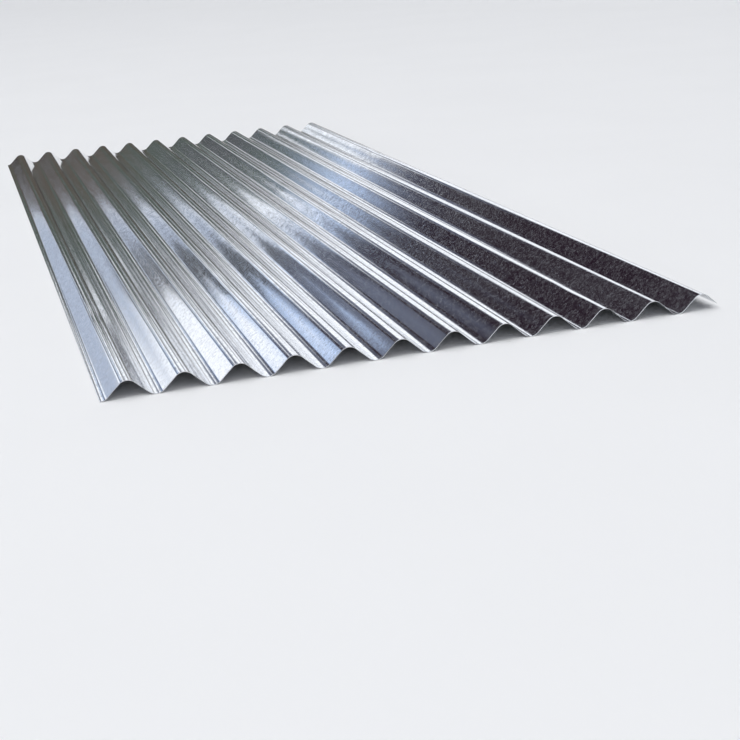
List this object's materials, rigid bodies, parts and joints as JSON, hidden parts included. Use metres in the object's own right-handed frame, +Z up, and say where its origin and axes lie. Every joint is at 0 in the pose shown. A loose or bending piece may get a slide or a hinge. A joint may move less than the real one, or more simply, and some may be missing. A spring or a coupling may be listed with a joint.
{
  "type": "corrugated roofing sheet",
  "caption": "Long corrugated galvanised steel roofing sheet with rounded waves along its length, a valley edge on one side and a lap edge on the other.",
  "frame": {"origin": "centre of the sheet's box on the plane that its valleys rest on", "axes": "+Y along the waves, +X across them from the valley edge to the lap edge, +Z up"},
  "size_m": [0.8, 2.134, 0.0222],
  "materials": {
    "galvanised_steel": "bright hot-dip zinc with a fine spangle and cloudy patches"
  },
  "bodies": {
    "root": {"roofing_sheet": "galvanised_steel"}
  },
  "joints": []
}
